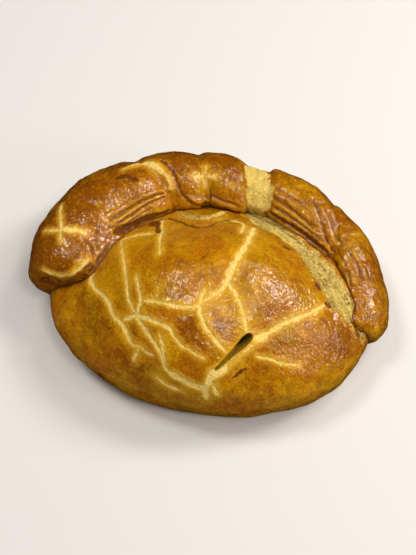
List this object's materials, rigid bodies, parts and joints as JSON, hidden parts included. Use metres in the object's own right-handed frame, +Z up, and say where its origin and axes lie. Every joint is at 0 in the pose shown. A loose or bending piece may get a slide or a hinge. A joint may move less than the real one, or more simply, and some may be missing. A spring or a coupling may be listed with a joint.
{
  "type": "pasty",
  "caption": "Plump baked pasty with a thick hand-rolled crimp along its curved edge, a domed golden crust with a steam slit, and a flat base it rests on.",
  "frame": {"origin": "centre of the bounding box seen from above, at the height of the flat base", "axes": "+X along the pasty, from the crimp's fat left end to its thin right end; +Y towards the crimped edge; +Z up"},
  "size_m": [0.1564, 0.1176, 0.0543],
  "materials": {
    "glazed_crust": "egg-washed golden-brown baked pastry, glossy on top, pale and dry where it has split, matt and browner underneath"
  },
  "bodies": {
    "root": {"pasty": "glazed_crust"}
  },
  "joints": []
}
